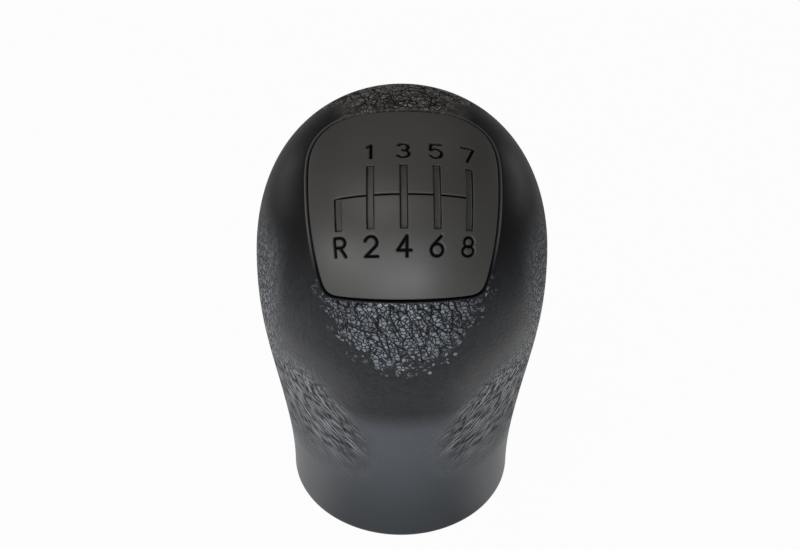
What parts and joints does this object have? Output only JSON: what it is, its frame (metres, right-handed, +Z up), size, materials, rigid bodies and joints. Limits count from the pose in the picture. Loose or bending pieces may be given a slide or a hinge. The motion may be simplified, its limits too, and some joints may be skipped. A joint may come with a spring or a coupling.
{
  "type": "gear shift knob",
  "caption": "Gear lever knob: leather-grained soft head on a round neck, with a curved flush plate engraved with a double H gate.",
  "frame": {"origin": "on the lever's axis, in the plane of the neck's foot", "axes": "+Z up along the lever's axis, -Y towards the driver's side that the pattern plate faces, +X to the right of the plate's reader"},
  "size_m": [0.0766, 0.083, 0.1175],
  "materials": {
    "grained_skin": "satin",
    "satin_plate": "satin",
    "core_nylon": "matte",
    "gasket_foam": "matte",
    "bush_brass": "satin",
    "ring_plastic": "satin"
  },
  "bodies": {
    "root": {"grip_cover": "grained_skin", "grip_core": "core_nylon", "pattern_plate": "satin_plate", "plate_gasket": "gasket_foam", "threaded_bush": "bush_brass", "neck_ring": "ring_plastic"}
  },
  "joints": []
}
